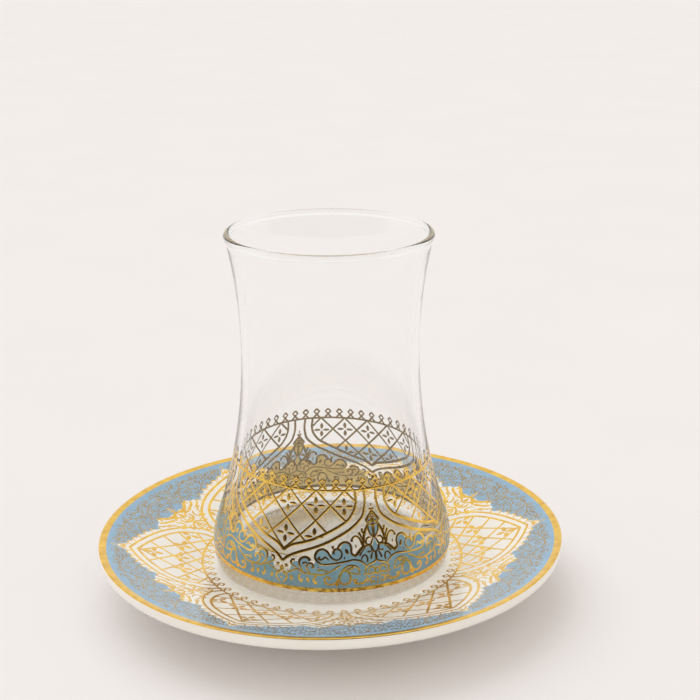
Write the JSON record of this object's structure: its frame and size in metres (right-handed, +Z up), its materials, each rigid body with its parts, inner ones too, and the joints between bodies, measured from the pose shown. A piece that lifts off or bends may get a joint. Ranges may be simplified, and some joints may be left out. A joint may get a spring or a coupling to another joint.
{
  "type": "turkish tea glass with saucer",
  "caption": "Clear waisted tea glass, empty, standing in the well of its round porcelain saucer, both printed with gold and blue ornament.",
  "frame": {"origin": "centre of the saucer's foot, on the surface it stands on", "axes": "+Z up along the common axis of glass and saucer; X and Y lie in the surface it stands on"},
  "size_m": [0.118, 0.118, 0.0925],
  "materials": {
    "clear_glass": "polished clear soda glass",
    "porcelain": "glossy white glaze",
    "gold_print": "thin burnished gold print",
    "blue_print": "fired blue enamel print"
  },
  "bodies": {
    "root": {"tea_glass": "clear_glass", "saucer": "porcelain"}
  },
  "joints": []
}
